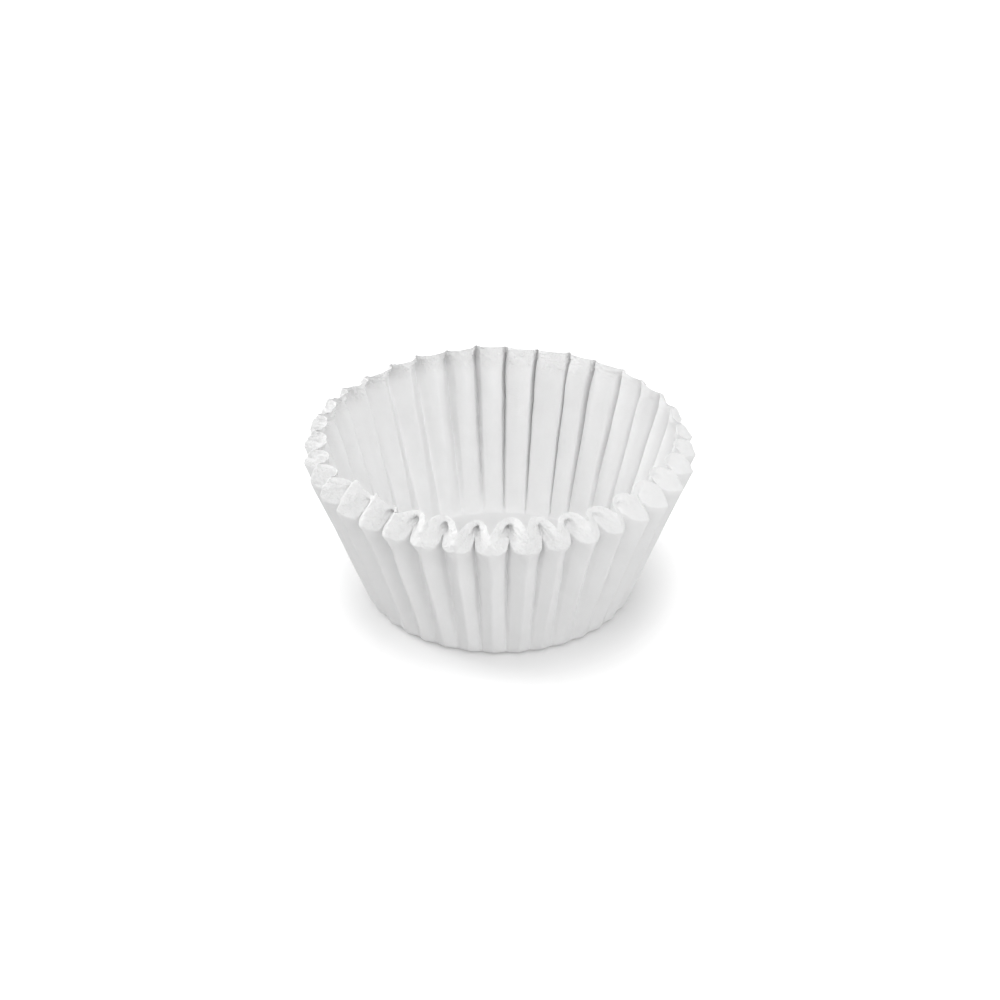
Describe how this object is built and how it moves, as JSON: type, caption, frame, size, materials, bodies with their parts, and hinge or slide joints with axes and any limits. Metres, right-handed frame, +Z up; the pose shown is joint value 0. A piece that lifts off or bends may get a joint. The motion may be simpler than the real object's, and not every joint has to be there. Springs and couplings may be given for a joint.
{
  "type": "paper candy cup",
  "caption": "Small round fluted cup pressed from one thin sheet of paper, open at the top, that holds one sweet or bonbon.",
  "frame": {"origin": "middle of the underside of the cup's flat base", "axes": "+Z up out of the cup's mouth; -Y towards the side whose rim leans in most; metres"},
  "size_m": [0.046, 0.046, 0.0221],
  "materials": {
    "white_paper": "matt, uncoated, bleached"
  },
  "bodies": {
    "root": {"paper_cup": "white_paper"}
  },
  "joints": []
}
